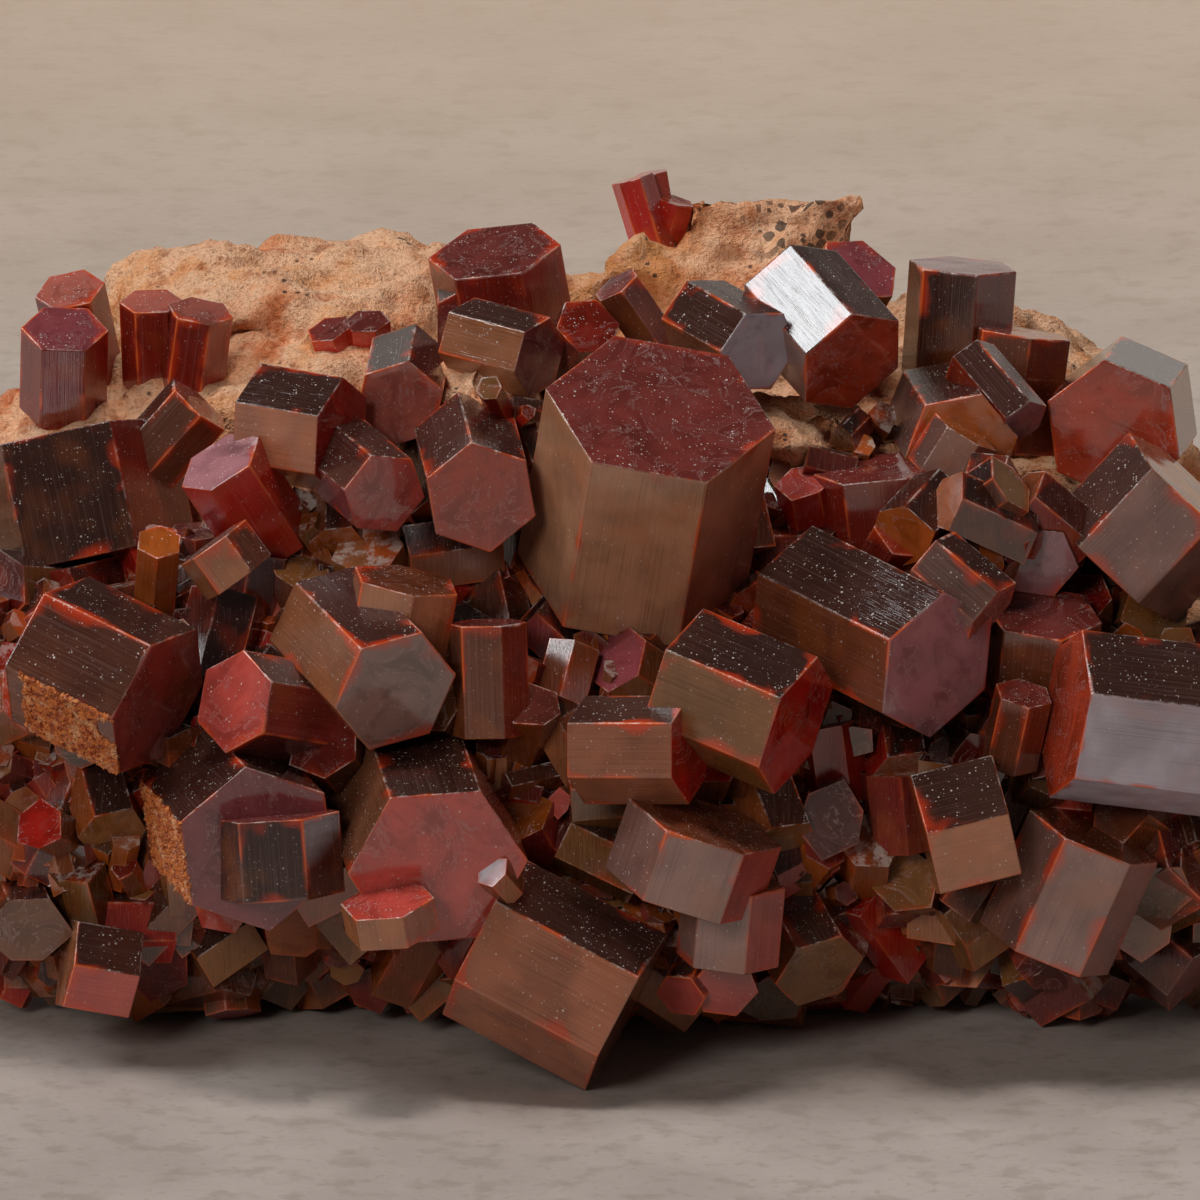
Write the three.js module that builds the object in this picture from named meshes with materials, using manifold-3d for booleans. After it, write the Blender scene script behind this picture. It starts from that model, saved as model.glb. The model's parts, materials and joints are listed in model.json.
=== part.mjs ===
// Vanadinite on matrix: a crowd of stout hexagonal crystals on a long tan lump of rock.
//
// Everything is first laid out in the specimen's leaning front, a frame in which
// "across" runs to the right, "up" runs up the front and "out" stands away from it.
// The whole front then leans back by LEAN, and the rock is cut flat where it rests.

import * as THREE from 'three';
import { mergeVertices } from 'three/addons/utils/BufferGeometryUtils.js';
import Module from 'manifold-3d';

const wasm = await Module();
wasm.setup();

// ---- driving dimensions, in millimetres and degrees ----

const LEAN = 15;
const GAP = 0.3;
const CORE_HEIGHT = 19.7;
const CRUST_THICKNESS = 1.9;
const ROOT_DEPTH = 2.5;
const WELD = 0.002;
const ROCK_DETAIL = 2;

// The rock, lump by lump: across, up, out, then its half sizes in the same order.
const ROCK_LUMPS = [
  [-13, 0, -8, 22, 13, 12],
  [12, 0, -8, 22, 13, 12],
  [-13.5, 11.5, -14, 11.5, 7.4, 8],
  [2, 12, -14, 6.5, 6.5, 6],
  [17, 7.2, -13, 12, 7.8, 9],
  [33, -5, -6, 10, 10.5, 12],
  [-33, -3, -6, 10, 11, 12],
  [0, -9, -1, 25, 9.5, 11],
  [22, -9, -2, 15, 8.5, 10],
  [-21, -9, -2, 14, 8.5, 10],
  [1, -17, -9, 24, 8, 11],
  [-5.6, 9.6, -1, 3.4, 3.4, 7],
  [10.2, 8.4, -1, 4.6, 3, 7],
  [18.4, 4.2, 3, 3.4, 2.4, 6.5],
];

// The blocky backbone that ties the lumps together: the same six numbers as a lump.
const BACKBONE = [-4, 1, -12, 33, 12.5, 9];
const BLOCKINESS = 3.2;

// Flat broken faces of the rock: bearing and tilt of each face's outward direction,
// and its distance from the middle.
const BROKEN_FACES = [
  [70, 170, 19.6],
  [200, 150, 25.5],
  [330, 152, 25],
  [265, 138, 20.5],
  [95, 132, 26.2],
  [4, 96, 41],
  [177, 102, 41.5],
];

// The fin that stands on the ridge: its middle, half sizes and turn.
const FIN = { across: 8.9, up: 15.2, out: -14, halfWidth: 4.5, halfHeight: 5.2, halfDepth: 3.4, turn: 2 };

// Each crystal or intergrown group, front ones first. A row is one prism:
// across, up, out (middle of its end face), bearing and tilt of its axis,
// spin of its corners, radius to a corner, length.
const CRYSTALS = {
  great_crystal: [[3, 9.5, 14, 80, 50, 30, 5.8, 8.2]],
  rose_crystal: [
    [-8, -13.2, 19, -70, 22, 13, 4.5, 7],
    [-10.5, -14.8, 20.2, 100, 66, 15, 2.4, 1.3],
  ],
  foot_crystal: [[1.3, -20.4, 15, -28, 86, 35, 4.4, 7.4]],
  silvery_crystal: [[23, -5.6, 16, 173, 75, 15, 4.4, 8]],
  nested_crystal: [
    [-16.9, -12.3, 17, -45, 20, 25, 4.3, 6],
    [-16.3, -11.1, 16.8, 94, 84, 25, 3.2, 3.5],
  ],
  blue_topped_crystal: [[9.7, -6.2, 18, -23, 69, 45, 3.7, 6]],
  big_tilted_crystal: [[16.7, -3.2, 16, -27, 46, 0, 3.9, 7.5]],
  sandy_crystal: [[-21.9, -5, 14, -26, 64, 25, 4.1, 5.2]],
  red_faced_crystal: [[-5.9, 5.1, 13, -75, 16, 55, 2.9, 6]],
  long_lying_crystal: [
    [5.2, -11, 17, 71, 74, 35, 4, 3.6],
    [6.6, -14.4, 15, 85, 75, 20, 2.6, 3.4],
  ],
  tan_fronted_crystal: [[4.4, -7.4, 18, 0, 68, 30, 2.7, 5.1]],
  stepped_crystal: [[16, -11.6, 15, 194, 88, 0, 3.5, 4.2]],
  lower_right_crystal: [[24.3, -12.1, 13, 66, 78, 38, 3.5, 5.7]],
  grey_tan_crystal: [[-10.1, -4.5, 17, -45, 35, 55, 3.3, 5]],
  rose_left_crystal: [[-18.1, -5, 16, 170, 42, 30, 2.6, 3.2]],
  big_grey_brown_crystal: [[29.3, 5.6, 8, 47, 80, 30, 4.1, 5.2]],
  dark_left_crystal: [[-26.9, 8, 1, 102, 95, 28, 5.6, 5.6]],
  bright_crystal: [[12.5, 12, 4, -49, 49, 30, 3.1, 5]],
  grey_faced_crystal: [[7.9, 12.4, 5, -30, 38, 25, 2.3, 4]],
  large_maroon_crystal: [[25.6, 8.5, 4, -130, 12, 47, 3.6, 5]],
  shoulder_crystal: [[-12.9, 8.2, 7, -10, 64, 46, 3, 4.2]],
  rose_shoulder_crystal: [[-10, 9.8, 4, -100, 18, 58, 2.3, 4]],
  lilac_capped_crystal: [[-18.9, 6.9, 8, 123, 61, 30, 2.3, 3.8]],
  rose_cap_crystal: [[-10.7, 5.3, 11, -40, 28, 32, 2.2, 4]],
  amber_crystal: [
    [18, 7.6, 6, -60, 15, 10, 2.9, 5],
    [18.2, 8.4, 7.4, 58, 80, 30, 1.8, 1.6],
  ],
  red_prism_crystal: [[13.8, 6.6, 7, 97, 76, 25, 3.2, 3.2]],
  maroon_double_crystal: [
    [-5.3, 17.5, -2, 100, 65, 20, 3.4, 2],
    [-6.2, 13.8, -1, -90, 20, 0, 2.3, 3],
  ],
  purple_crystal: [[-3, 12.1, 4, -15, 55, 30, 2.1, 4]],
  lilac_right_crystal: [[21.8, 1.9, 10, -95, 22, 27, 2, 2.5]],
  pale_striated_crystal: [[19.4, -0.6, 15, -40, 75, 30, 1.9, 4]],
  dark_topped_crystal: [[22, -0.6, 11, 85, 62, 20, 3, 3.5]],
  dark_upright_crystal: [[-5.6, -1.1, 14, 92, 84, 20, 2, 5.6]],
  dark_striated_crystal: [[18.2, 16.8, -5, 86, 80, 15, 2.8, 5.8]],
  brown_block_crystal: [[21.2, 13.4, -3, 82, 84, 10, 2.6, 4]],
  pillar_pair: [
    [-22.5, 15, -3, 92, 65, 30, 1.6, 4.5],
    [-20, 14.5, -2, 82, 66, 20, 1.7, 4.7],
  ],
  pale_capped_crystal: [[-26.6, 15.6, -5, 102, 56, 30, 1.8, 3.4]],
  purple_left_crystal: [[-26.8, 13.6, -2, 88, 55, 30, 2.2, 2.4]],
  ridge_trio: [
    [1.2, 21.2, -14, 107, 86, 20, 1.1, 3.4],
    [2.6, 21.6, -14.5, 100, 82, 0, 0.9, 3.4],
    [3.8, 20.2, -14, 75, 75, 10, 1, 2.4],
  ],
  red_ridge_pair: [
    [-13.6, 13.6, -3, 110, 60, 0, 1.2, 2.5],
    [-11.7, 14, -3, 95, 60, 20, 1.2, 2.5],
  ],
  dark_red_crystal: [[-0.6, 13.7, 2, 60, 35, 10, 1.7, 3]],
  slanting_crystal: [[0.8, 15.8, -1, 125, 70, 0, 1.3, 3.8]],
  olive_faced_crystal: [[13, 16.6, -3, 60, 50, 15, 2.2, 3]],
  lilac_slope_crystal: [[21, 8.9, 5, -50, 60, 20, 1.5, 4]],
  sparkling_red_crystal: [[15.2, 3.5, 11, 60, 35, 0, 1.7, 3]],
  dark_slope_crystal: [[-20, 9.8, 3, 48, 78, 15, 1.9, 3]],
  striated_tan_crystal: [[-19.2, 2.9, 11, 126, 86, 20, 2, 2.2]],
  amber_left_crystal: [[-21.9, 2.9, 10, 85, 45, 0, 1.2, 2.6]],
  brown_left_crystal: [
    [-9.6, 1, 13.5, 80, 75, 10, 2.8, 3.5],
    [-13.8, 0, 12, 120, 70, 0, 2, 3.5],
  ],
  narrow_right_crystal: [[21, -4.6, 14, 78, 62, 15, 1.5, 3.4]],
  corner_left_crystal: [[-26.5, -18, 10, 170, 80, 0, 2.5, 3.3]],
  olive_belly_crystal: [[10.9, -18.4, 11, -60, 50, 10, 2.4, 4]],
  pink_belly_group: [
    [6.2, -19.2, 13, -80, 25, 10, 1.7, 3],
    [4, -19.6, 13, -120, 40, 0, 1.3, 2.5],
  ],
  right_end_crystal: [[29.5, -12.5, 9, 30, 60, 0, 3, 4]],
  right_tip_crystal: [[44, -2, -2, 10, 80, 25, 3.4, 5]],
  left_tip_crystal: [[-44.5, 0, -4, 175, 85, 10, 3.2, 5]],
  left_low_crystal: [[-40, -9, 4, 205, 66, 30, 2.6, 5]],
  back_crystal_pair: [
    [-6, 4, -22.5, 60, 140, 20, 2.6, 4],
    [-2.5, 5.5, -21.5, 100, 125, 0, 2.1, 4],
  ],
  back_low_crystal: [[14, -4, -22.5, -20, 150, 40, 3, 4]],
};

// ---- small helpers ----

const radians = THREE.MathUtils.degToRad;

/** A three.js geometry as a closed manifold body, its corners welded. */
function solidFrom(geometry) {
  const bare = new THREE.BufferGeometry();
  bare.setAttribute('position', geometry.getAttribute('position'));
  if (geometry.index) {
    bare.setIndex(geometry.index);
  }
  const welded = mergeVertices(bare, WELD);
  return new wasm.Manifold(new wasm.Mesh({
    numProp: 3,
    vertProperties: new Float32Array(welded.getAttribute('position').array),
    triVerts: new Uint32Array(welded.index.array),
  }));
}

/** The body's separate pieces, the largest first. */
function piecesOf(body) {
  return body.decompose().sort((a, b) => b.volume() - a.volume());
}

/** One hexagonal prism, its far end at `row`'s place; `extra` grows it all round. */
function prism(row, extra = 0) {
  const [across, up, out, bearing, tilt, spin, radius, length] = row;
  const reach = radius + extra / Math.cos(radians(30));
  const outline = new THREE.Shape();
  for (let corner = 0; corner < 6; corner += 1) {
    const angle = radians(spin + 60 * corner);
    const point = [reach * Math.cos(angle), reach * Math.sin(angle)];
    if (corner === 0) {
      outline.moveTo(...point);
    } else {
      outline.lineTo(...point);
    }
  }
  outline.closePath();
  const depth = length + ROOT_DEPTH * Math.cos(radians(tilt)) ** 2 + 2 * extra;
  const geometry = new THREE.ExtrudeGeometry(outline, { depth, bevelEnabled: false });
  geometry.translate(0, 0, extra - depth);
  geometry.rotateY(radians(tilt));
  geometry.rotateZ(radians(bearing));
  geometry.translate(across, up, out);
  return solidFrom(geometry);
}

/** A solid that fills everything beyond one broken face. */
function beyondFace([bearing, tilt, distance], extra = 0) {
  const geometry = new THREE.BoxGeometry(160, 160, 60);
  geometry.translate(0, 0, 30 + distance + extra);
  geometry.rotateY(radians(tilt));
  geometry.rotateZ(radians(bearing));
  return solidFrom(geometry);
}

/** How far a lump's skin swells or sinks in a direction, a sum of slow waves. */
function swell(direction, phase) {
  const { x, y, z } = direction;
  return (
    0.06 * Math.sin(3.1 * x + 2.3 * y + phase)
    + 0.05 * Math.sin(4.7 * y - 3.9 * z + 1.7 * phase)
    + 0.035 * Math.sin(7.3 * z + 6.1 * x + 2.9 * phase)
    + 0.03 * Math.sin(9.7 * x - 8.3 * y + 0.7 * phase)
  );
}

/** How far a block's skin stands off in a direction: 1 along its axes, more at its corners. */
function squareness({ x, y, z }, power) {
  return (Math.abs(x) ** power + Math.abs(y) ** power + Math.abs(z) ** power) ** (-1 / power);
}

/** One lump of rock, `extra` millimetres larger than its row says; power 2 is round. */
function lump(row, order, extra = 0, power = 2) {
  const [across, up, out, halfAcross, halfUp, halfOut] = row;
  const geometry = new THREE.IcosahedronGeometry(1, ROCK_DETAIL);
  const position = geometry.getAttribute('position');
  const direction = new THREE.Vector3();
  for (let index = 0; index < position.count; index += 1) {
    direction.fromBufferAttribute(position, index).normalize();
    const size = squareness(direction, power) * (1 + swell(direction, 1.3 * order));
    position.setXYZ(
      index,
      across + direction.x * (size * halfAcross + extra),
      up + direction.y * (size * halfUp + extra),
      out + direction.z * (size * halfOut + extra),
    );
  }
  return solidFrom(geometry);
}

/** The fin on the ridge: a block whose corners are knocked off true. */
function ridgeFin(extra = 0) {
  const geometry = new THREE.BoxGeometry(
    2 * (FIN.halfWidth + extra),
    2 * (FIN.halfHeight + extra),
    2 * (FIN.halfDepth + extra),
    5, 3, 3,
  );
  const position = geometry.getAttribute('position');
  for (let index = 0; index < position.count; index += 1) {
    const x = position.getX(index);
    const y = position.getY(index);
    const z = position.getZ(index);
    position.setXYZ(
      index,
      x + 0.3 * Math.sin(1.1 * y + 0.8 * z),
      y + 0.3 * Math.sin(0.9 * x + 1.3 * z),
      z * (1 - 0.05 * y) + 0.4 * Math.sin(0.7 * x + 1.1 * y),
    );
  }
  geometry.rotateZ(radians(FIN.turn));
  geometry.translate(FIN.across, FIN.up, FIN.out);
  return solidFrom(geometry);
}

/** The whole rock before its base is cut flat, grown by `extra`. */
function rockBody(extra = 0) {
  const backbone = lump(BACKBONE, ROCK_LUMPS.length, extra, BLOCKINESS);
  const whole = ROCK_LUMPS
    .map((row, order) => lump(row, order, extra))
    .reduce((sum, next) => sum.add(next), ridgeFin(extra).add(backbone));
  return BROKEN_FACES.reduce((rest, face) => rest.subtract(beyondFace(face, extra)), whole);
}

/** The lower front and flanks, where the small crystals grow thickest. */
function crustedZone(extra = 0) {
  const geometry = new THREE.SphereGeometry(1, 28, 16);
  geometry.scale(46 + extra, 18 + extra, 22 + extra);
  geometry.translate(0, -12, 12);
  return solidFrom(geometry);
}

/** Turns a body from the leaning front to the upright, resting frame. */
function stand(body) {
  return body.rotate([90 - LEAN, 0, 0]).translate([0, 0, CORE_HEIGHT]);
}

/** A slab that fills everything below `height`. */
function ground(height) {
  const slab = new THREE.BoxGeometry(200, 200, 60);
  slab.translate(0, 0, height - 30);
  return solidFrom(slab);
}

/** A named three.js mesh of one finished body, in its own material. */
function meshOf(name, body, finish) {
  const data = body.getMesh();
  const geometry = new THREE.BufferGeometry();
  geometry.setAttribute('position', new THREE.BufferAttribute(data.vertProperties, 3));
  geometry.setIndex(new THREE.BufferAttribute(data.triVerts, 1));
  const mesh = new THREE.Mesh(geometry, new THREE.MeshStandardMaterial(finish));
  mesh.name = name;
  return mesh;
}

// ---- the specimen ----

const rockSkin = rockBody();
const rockRoom = rockBody(GAP);
const crustRoom = rockBody(CRUST_THICKNESS + GAP).intersect(crustedZone(GAP)).add(rockBody(GAP));

const specimen = new THREE.Group();
specimen.name = 'vanadinite_on_matrix';

const matrix = piecesOf(stand(rockSkin).subtract(ground(0)))[0];
const crust = piecesOf(
  stand(rockBody(CRUST_THICKNESS).intersect(crustedZone()).subtract(rockRoom)).subtract(ground(0.6)),
)[0];
specimen.add(meshOf('matrix', matrix, { color: 0xc79a72, roughness: 0.95, metalness: 0 }));
specimen.add(meshOf('small_crystal_crust', crust, { color: 0x4a1a0c, roughness: 0.4, metalness: 0 }));

let taken = stand(crustRoom).add(ground(0));
for (const [name, rows] of Object.entries(CRYSTALS)) {
  const grown = rows.map((row) => stand(prism(row))).reduce((whole, next) => whole.add(next));
  const clear = piecesOf(grown.subtract(taken))[0];
  specimen.add(meshOf(name, clear, { color: 0x6e2413, roughness: 0.2, metalness: 0 }));
  rows.forEach((row) => {
    taken = taken.add(stand(prism(row, GAP)));
  });
}

const extent = new THREE.Box3().setFromObject(specimen);
const middle = extent.getCenter(new THREE.Vector3());
specimen.position.set(-middle.x, -middle.y, -extent.min.z);
specimen.updateMatrixWorld(true);

export default specimen;
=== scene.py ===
"""Looks of a vanadinite specimen: stout hexagonal crystals crowded on a long tan rock."""

import json
import math

import bmesh
import bpy
import numpy as np
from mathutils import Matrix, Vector


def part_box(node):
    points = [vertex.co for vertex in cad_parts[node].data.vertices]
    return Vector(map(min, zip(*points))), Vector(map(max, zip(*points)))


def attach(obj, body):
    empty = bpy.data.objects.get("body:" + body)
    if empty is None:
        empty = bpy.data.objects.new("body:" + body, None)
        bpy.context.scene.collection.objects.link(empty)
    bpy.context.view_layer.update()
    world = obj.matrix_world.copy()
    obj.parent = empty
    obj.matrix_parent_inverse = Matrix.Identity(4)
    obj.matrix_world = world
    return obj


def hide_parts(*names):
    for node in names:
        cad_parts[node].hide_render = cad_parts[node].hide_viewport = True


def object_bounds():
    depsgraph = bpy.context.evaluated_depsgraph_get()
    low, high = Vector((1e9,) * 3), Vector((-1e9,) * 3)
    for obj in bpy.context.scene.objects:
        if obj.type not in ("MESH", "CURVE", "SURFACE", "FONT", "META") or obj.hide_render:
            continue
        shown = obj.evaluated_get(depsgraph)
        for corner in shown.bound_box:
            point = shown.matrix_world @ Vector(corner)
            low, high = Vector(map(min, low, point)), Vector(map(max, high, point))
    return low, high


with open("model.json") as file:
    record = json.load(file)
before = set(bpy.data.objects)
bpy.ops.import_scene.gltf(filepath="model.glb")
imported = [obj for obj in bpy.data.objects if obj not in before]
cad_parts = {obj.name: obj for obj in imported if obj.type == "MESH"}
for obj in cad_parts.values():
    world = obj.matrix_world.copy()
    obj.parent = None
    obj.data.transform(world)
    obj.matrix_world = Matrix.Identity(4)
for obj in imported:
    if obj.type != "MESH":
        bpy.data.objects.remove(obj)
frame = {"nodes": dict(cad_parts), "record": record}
cad_low, cad_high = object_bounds()

MM = 0.001
SEED = 1838
BOX_LOW, BOX_HIGH = [np.array(corner) / MM for corner in (cad_low, cad_high)]
ROCK_LOW, ROCK_HIGH = [np.array(corner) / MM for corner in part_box("matrix")]
ROCK_HEART = (ROCK_LOW + ROCK_HIGH) / 2
CRYSTAL_NODES = [name for name in frame["nodes"] if name not in ("matrix", "small_crystal_crust")]
SLOT_OF = {part["node"]: part["material_slot"] for part in frame["record"]["subparts"]}

# The bearings of a prism's six sides round its axis, and a direction no axis lies along.
SIXTHS = np.arange(6) * math.pi / 3
SLANT = (0.31, 0.17, 0.93)


# ---- reading the frame ----

SLIVER = 1e-6  # mm2, twice the area of a triangle too thin to have a normal
SAME_WAY = 0.9997  # cosine of the angle between normals that count as one
SAME_LEVEL = 0.03  # mm between planes that count as one
SQUARE = 0.012  # cosine of the angle to a direction that counts as square to it
SIX_FOLD = 0.97  # how well a side keeps to the six bearings, 1 for exactly
MOST_PLANES = 60
LIKELY_AXES = 30  # how many of the largest planes are tried as an end face
MOST_GROWN = 3  # prisms looked for in one node
LEAST_SHARE = 0.03  # of a node's area, for the sides of a further prism
LEAST_SIDE = 0.02  # of the area of all the sides, for one side
LEAST_HALF = 0.4  # mm, half width of the thinnest prism


def vectors(items, name):
    """One three-part value of each item of a mesh, as an array."""
    values = np.empty(len(items) * 3)
    items.foreach_get(name, values)
    return values.reshape(-1, 3)


def triangles_of(node):
    """A CAD node's triangles in millimetres: corner points (n, 3, 3), unit normals and areas."""
    mesh = frame["nodes"][node].data
    points = vectors(mesh.vertices, "co") / MM
    mesh.calc_loop_triangles()
    order = np.empty(len(mesh.loop_triangles) * 3, int)
    mesh.loop_triangles.foreach_get("vertices", order)
    corners = points[order.reshape(-1, 3)]
    cross = np.cross(corners[:, 1] - corners[:, 0], corners[:, 2] - corners[:, 0])
    twice = np.linalg.norm(cross, axis=1)
    sound = twice > SLIVER
    return corners[sound], cross[sound] / twice[sound, None], twice[sound] / 2


def flat_faces(corners, normals, areas):
    """The planes that triangles lie in: normals, distances from the origin and areas."""
    distance = (normals * corners[:, 0]).sum(1)
    left = np.ones(len(areas), bool)
    planes = []
    while left.any() and len(planes) < MOST_PLANES:
        lead = np.argmax(np.where(left, areas, -1))
        same = left & (normals @ normals[lead] > SAME_WAY)
        same &= abs(distance - distance[lead]) < SAME_LEVEL
        planes.append((normals[lead], distance[lead], areas[same].sum()))
        left &= ~same
    normal, far, area = zip(*planes)
    return np.array(normal), np.array(far), np.array(area)


def side_frame(axis):
    """Two unit directions square to the axis and to each other."""
    first = np.cross(axis, SLANT)
    first /= np.linalg.norm(first)
    return first, np.cross(axis, first)


def best_axis(normal, area):
    """
    The normal that most other area stands square to, on bearings 60 degrees apart. Gives that
    area, the axis, the first bearing and the numbers of the sides. The bearing is the phase of
    the sum of area * exp(6i * angle), over 6.
    """
    best = (0, None, None, None)
    for axis in normal[:LIKELY_AXES]:
        square = abs(normal @ axis) < SQUARE
        if square.sum() < 2:
            continue
        first, second = side_frame(axis)
        angle = np.arctan2(normal[square] @ second, normal[square] @ first)
        wave = (area[square] * np.exp(6j * angle)).sum()
        kin = np.cos(6 * angle - np.angle(wave)) > SIX_FOLD
        ways = np.unique(np.round((angle[kin] - np.angle(wave) / 6) * 3 / math.pi).astype(int) % 3)
        score = area[square][kin].sum()
        if len(ways) > 1 and score > best[0]:
            best = (score, axis, np.angle(wave) / 6, np.flatnonzero(square)[kin])
    return best


def prisms_of(node):
    """
    Reads a crystal node back as whole hexagonal prisms. The axis is the normal that the side
    faces stand square to; the middle and the half width come from the least-squares fit of
    distance = middle . normal + half width over the outermost side faces.
    """
    corners, normals, areas = triangles_of(node)
    normal, far, area = flat_faces(corners, normals, areas)
    points = corners.reshape(-1, 3)
    whole = area.sum()
    found = []
    while len(found) < MOST_GROWN and len(area) > 3:
        score, axis, turn, kin = best_axis(normal, area)
        if axis is None or (found and score < LEAST_SHARE * whole):
            break
        first, second = side_frame(axis)
        sides = {}
        for index in kin:
            angle = math.atan2(normal[index] @ second, normal[index] @ first)
            step = round((angle - turn) * 3 / math.pi) % 6
            if area[index] > LEAST_SIDE * score:
                sides[step] = max(far[index], sides.get(step, far[index]))
        angles = [turn + step * math.pi / 3 for step in sides]
        rows = np.array([[math.cos(angle), math.sin(angle), 1] for angle in angles])
        ends = abs(normal @ axis) > SAME_WAY
        fit = None
        if len(rows) >= 3:
            fit, _, rank, _ = np.linalg.lstsq(rows, np.array(list(sides.values())), rcond=None)
            if rank < 3 or fit[2] < LEAST_HALF:
                fit = None
        if fit is not None:
            heights = points @ axis
            flat = points @ np.array([first, second]).T - fit[:2]
            corner_reach = fit[2] / math.cos(math.pi / 6) * 1.03
            within = np.hypot(flat[:, 0], flat[:, 1]) < corner_reach
            least = 0.5 * fit[2] ** 2
            low, top = heights[within].min(), heights[within].max()
            facing = normal @ axis
            for sign in (1, -1):
                caps = ends & (facing * sign > 0) & (area > least)
                if caps.any():
                    level = sign * far[caps][np.argmax(area[caps])]
                    low, top = (low, level) if sign > 0 else (level, top)
            if not found or (ends & (area > least)).any():
                found.append({
                    "axis": axis,
                    "centre": first * fit[0] + second * fit[1],
                    "half": fit[2],
                    "top": top,
                    "low": low,
                    "ray": normal[kin[np.argmax(area[kin])]],
                })
        used = ends.copy()
        used[kin] = True
        normal, far, area = normal[~used], far[~used], area[~used]
    return found


# ---- colours ----


def paint(code):
    """A screen colour such as "#7a2a1c" as linear red, green, blue."""
    parts = np.array([int(code[at:at + 2], 16) for at in (1, 3, 5)]) / 255
    return np.where(parts < 0.04045, parts / 12.92, ((parts + 0.055) / 1.055) ** 2.4)


TONE_LEVEL = 1.05
TONES = {
    "maroon": (0.18, 0.03, 0.024),
    "dark_red": (0.2, 0.012, 0.005),
    "brick": (0.42, 0.045, 0.015),
    "rose": (0.45, 0.06, 0.045),
    "dusty_rose": (0.42, 0.11, 0.08),
    "lilac": (0.36, 0.15, 0.17),
    "purple": (0.25, 0.05, 0.06),
    "grey": (0.3, 0.16, 0.13),
    "silver": (0.5, 0.43, 0.5),
    "clay": (0.38, 0.13, 0.065),
    "tan": (0.42, 0.15, 0.06),
    "pale_tan": (0.45, 0.22, 0.12),
    "olive": (0.28, 0.11, 0.03),
    "amber": (0.4, 0.09, 0.012),
    "umber": (0.17, 0.045, 0.018),
    "near_black": (0.042, 0.015, 0.011),
    "ember": (0.5, 0.012, 0.004),
    "edge_red": (0.55, 0.04, 0.006),
    "edge_orange": (0.7, 0.14, 0.02),
}
TONES = {name: TONE_LEVEL * np.array(tone) for name, tone in TONES.items()}

# For each crystal: the tone of its end faces, of its side faces, and how much ember the faces
# turned to the right take, a painted glow of light passing through the crystal.
CRYSTAL_TONES = {
    "great_crystal": ("maroon", "pale_tan", 0.35),
    "rose_crystal": ("rose", "tan", 0.4),
    "foot_crystal": ("umber", "clay", 0.6),
    "silvery_crystal": ("brick", "silver", 0.2),
    "nested_crystal": ("purple", "olive", 0.2),
    "blue_topped_crystal": ("ember", "olive", 0.9),
    "big_tilted_crystal": ("lilac", "umber", 0.3),
    "sandy_crystal": ("rose", "umber", 0.5),
    "red_faced_crystal": ("brick", "grey", 0.3),
    "long_lying_crystal": ("umber", "grey", 0.8),
    "tan_fronted_crystal": ("ember", "clay", 0.9),
    "stepped_crystal": ("amber", "tan", 0.3),
    "lower_right_crystal": ("umber", "grey", 0.2),
    "grey_tan_crystal": ("grey", "tan", 0.1),
    "rose_left_crystal": ("rose", "maroon", 0.3),
    "big_grey_brown_crystal": ("clay", "grey", 0.1),
    "dark_left_crystal": ("dark_red", "near_black", 0.4),
    "bright_crystal": ("brick", "grey", 0.3),
    "grey_faced_crystal": ("silver", "umber", 0.1),
    "large_maroon_crystal": ("brick", "olive", 0.2),
    "shoulder_crystal": ("ember", "clay", 1.0),
    "rose_shoulder_crystal": ("dusty_rose", "tan", 0.2),
    "lilac_capped_crystal": ("lilac", "ember", 0.7),
    "rose_cap_crystal": ("rose", "purple", 0.3),
    "amber_crystal": ("amber", "grey", 0.5),
    "red_prism_crystal": ("maroon", "dark_red", 0.6),
    "maroon_double_crystal": ("maroon", "dark_red", 0.6),
    "purple_crystal": ("purple", "tan", 0.2),
    "lilac_right_crystal": ("lilac", "umber", 0.2),
    "pale_striated_crystal": ("dusty_rose", "grey", 0.1),
    "dark_topped_crystal": ("maroon", "umber", 0.2),
    "dark_upright_crystal": ("maroon", "umber", 0.3),
    "dark_striated_crystal": ("maroon", "near_black", 0.4),
    "brown_block_crystal": ("dark_red", "umber", 0.5),
    "pillar_pair": ("dusty_rose", "dark_red", 0.6),
    "pale_capped_crystal": ("dusty_rose", "dark_red", 0.5),
    "purple_left_crystal": ("purple", "dark_red", 0.5),
    "ridge_trio": ("brick", "ember", 0.6),
    "red_ridge_pair": ("maroon", "ember", 0.7),
    "dark_red_crystal": ("dark_red", "maroon", 0.6),
    "olive_faced_crystal": ("purple", "olive", 0.2),
    "lilac_slope_crystal": ("lilac", "dark_red", 0.4),
    "sparkling_red_crystal": ("brick", "dark_red", 0.8),
    "striated_tan_crystal": ("grey", "tan", 0.1),
    "amber_left_crystal": ("amber", "amber", 0.5),
    "brown_left_crystal": ("umber", "tan", 0.3),
    "corner_left_crystal": ("tan", "rose", 0.2),
    "olive_belly_crystal": ("olive", "olive", 0.2),
    "pink_belly_group": ("rose", "dusty_rose", 0.4),
}
PLAIN_TONES = ("maroon", "umber", 0.3)

# The same for a smaller crystal grown into one of them.
INNER_TONES = {
    "nested_crystal": ("maroon", "near_black", 0.1),
}


# ---- shapes worked out with numpy ----


def lattice(cells, seed):
    """A fixed random number from 0 to 1 for each whole-number place, by hashing its coordinates."""
    mixed = (cells * np.array([374761393, 668265263, 2147483647])).sum(-1) + seed * 1274126177
    mixed = (mixed ^ (mixed >> 13)) * 1103515245
    mixed = mixed ^ (mixed >> 16)
    return (mixed & 0xFFFFFF) / 0xFFFFFF


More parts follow.
